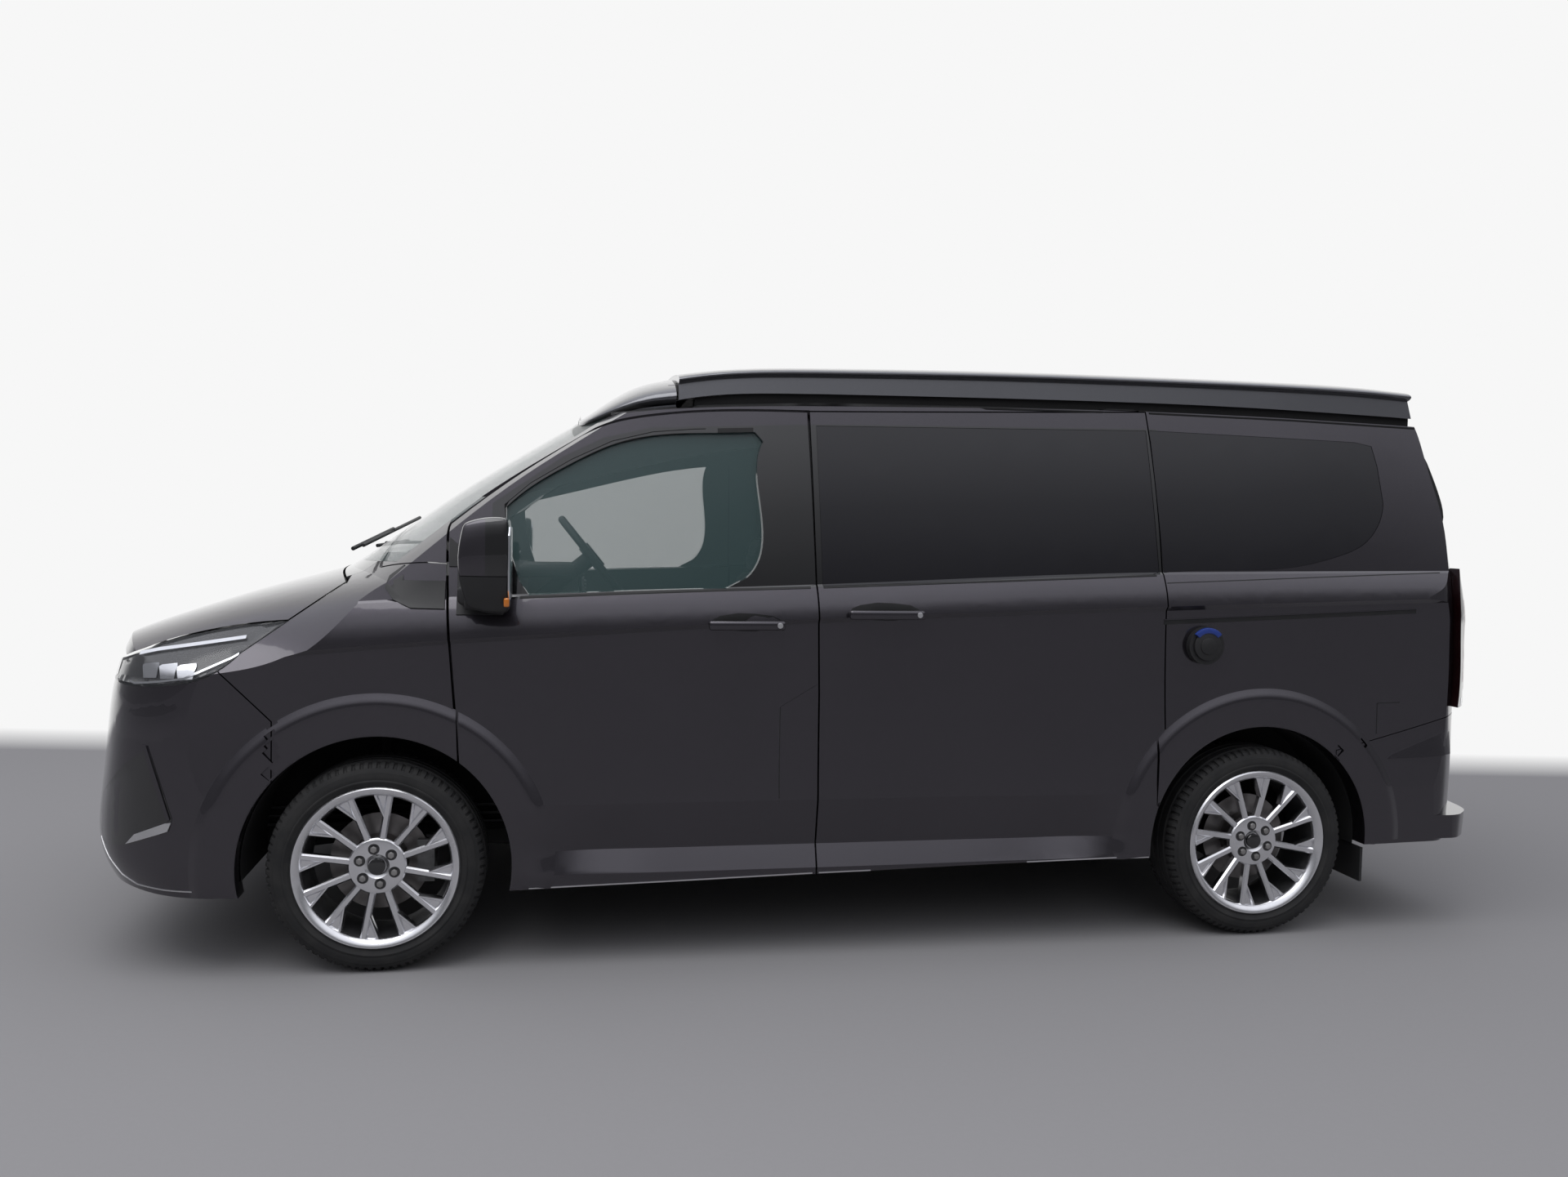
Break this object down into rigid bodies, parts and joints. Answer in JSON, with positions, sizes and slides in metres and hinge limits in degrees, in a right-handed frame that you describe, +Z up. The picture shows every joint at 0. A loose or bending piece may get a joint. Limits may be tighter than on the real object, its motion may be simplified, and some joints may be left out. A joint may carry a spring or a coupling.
{
  "type": "passenger van with pop-up camper roof",
  "caption": "Long passenger van with hinged cab doors, fixed sliding doors, bonnet, tailgate, steered front wheels and a rear-lifting camper roof lid",
  "frame": {"origin": "on the ground at the centre of the vehicle's bounding box seen from above", "axes": "+Z up, X along the length with the nose toward -X and the tail toward +X, the left side toward -Y"},
  "size_m": [5.0482, 2.502, 2.088],
  "materials": {
    "paint": "gloss",
    "lid_paint": "gloss",
    "black_trim": "grained",
    "gloss_black": "gloss",
    "clear_glass": "polished",
    "dark_glass": "polished",
    "lamp_clear": "polished",
    "lamp_red": "polished",
    "alloy": "machined",
    "tyre": "moulded",
    "steel": "brushed",
    "cast": "rough",
    "underbody": "satin",
    "interior": "grained",
    "seat_fabric": "woven",
    "rubber": "matte"
  },
  "bodies": {
    "body": {"body_side_left": "paint", "body_side_right": "paint", "bulkhead": "underbody", "dashboard": "interior", "engine": "cast", "exhaust": "steel", "floor_pan": "underbody", "front_bumper": "paint", "front_frame": "underbody", "front_seats": "seat_fabric", "front_subframe": "underbody", "grille": "gloss_black", "headlamps": "lamp_clear", "mud_flaps": "rubber", "rear_axle": "underbody", "rear_bench": "seat_fabric", "rear_bumper": "paint", "roof_fairing": "lid_paint", "roof_panel": "paint", "roof_seal": "rubber", "scuttle_panel": "black_trim", "shore_power_inlet": "black_trim", "side_windows": "dark_glass", "sliding_door_left": "paint", "sliding_door_right": "paint", "tail_lamps": "lamp_red", "windscreen": "clear_glass", "wing_left": "paint", "wing_right": "paint"},
    "wheel_front_left": {"tyre_front_left": "tyre", "rim_front_left": "alloy"},
    "wheel_front_right": {"tyre_front_right": "tyre", "rim_front_right": "alloy"},
    "wheel_rear_left": {"tyre_rear_left": "tyre", "rim_rear_left": "alloy"},
    "wheel_rear_right": {"tyre_rear_right": "tyre", "rim_rear_right": "alloy"},
    "knuckle_left": {"knuckle_left": "cast"},
    "knuckle_right": {"knuckle_right": "cast"},
    "door_left": {"front_door_left": "paint", "front_door_glass_left": "clear_glass", "mirror_left": "black_trim"},
    "door_right": {"front_door_right": "paint", "front_door_glass_right": "clear_glass", "mirror_right": "black_trim"},
    "bonnet": {"bonnet": "paint"},
    "tailgate": {"tailgate": "paint", "tailgate_glass": "dark_glass"},
    "roof_lid": {"roof_lid": "lid_paint"},
    "steering_wheel": {"steering_wheel": "interior"}
  },
  "joints": [
    {"name": "steer_left", "type": "hinge", "parent": "body", "child": "knuckle_left", "pos_m": [-1.545, -0.8675, 0.345], "axis": [0, 0, 1], "range_deg": [-35, 35]},
    {"name": "front_left_spin", "type": "hinge", "parent": "knuckle_left", "child": "wheel_front_left", "pos_m": [-1.545, -0.8675, 0.345], "axis": [0, 1, 0], "continuous": true},
    {"name": "rear_left_spin", "type": "hinge", "parent": "body", "child": "wheel_rear_left", "pos_m": [1.555, -0.8675, 0.345], "axis": [0, 1, 0], "continuous": true},
    {"name": "front_door_left_hinge", "type": "hinge", "parent": "body", "child": "door_left", "pos_m": [-1.245, -0.975, 0.8], "axis": [0, 0, -1], "range_deg": [0, 60]},
    {"name": "steer_right", "type": "hinge", "parent": "body", "child": "knuckle_right", "pos_m": [-1.545, 0.8675, 0.345], "axis": [0, 0, 1], "range_deg": [-35, 35]},
    {"name": "front_right_spin", "type": "hinge", "parent": "knuckle_right", "child": "wheel_front_right", "pos_m": [-1.545, 0.8675, 0.345], "axis": [0, 1, 0], "continuous": true},
    {"name": "rear_right_spin", "type": "hinge", "parent": "body", "child": "wheel_rear_right", "pos_m": [1.555, 0.8675, 0.345], "axis": [0, 1, 0], "continuous": true},
    {"name": "front_door_right_hinge", "type": "hinge", "parent": "body", "child": "door_right", "pos_m": [-1.245, 0.975, 0.8], "axis": [0, 0, 1], "range_deg": [0, 60]},
    {"name": "bonnet_hinge", "type": "hinge", "parent": "body", "child": "bonnet", "pos_m": [-1.634, 0, 1.291], "axis": [0, 1, 0], "range_deg": [0, 55]},
    {"name": "tailgate_hinge", "type": "hinge", "parent": "body", "child": "tailgate", "pos_m": [2.27, 0, 1.86], "axis": [0, -1, 0], "range_deg": [0, 85]},
    {"name": "roof_lid_hinge", "type": "hinge", "parent": "body", "child": "roof_lid", "pos_m": [-0.571, 0, 2.028], "axis": [0, -1, 0], "range_deg": [0, 24]},
    {"name": "steering_wheel_turn", "type": "hinge", "parent": "body", "child": "steering_wheel", "pos_m": [-0.855, -0.4, 1.344], "axis": [0.7771, 0, 0.6293], "range_deg": [-500, 500]}
  ],
  "couplings": [
    {"joint": "steer_right", "follows": "steer_left", "ratio": 1},
    {"joint": "steering_wheel_turn", "follows": "steer_left", "ratio": 14}
  ]
}
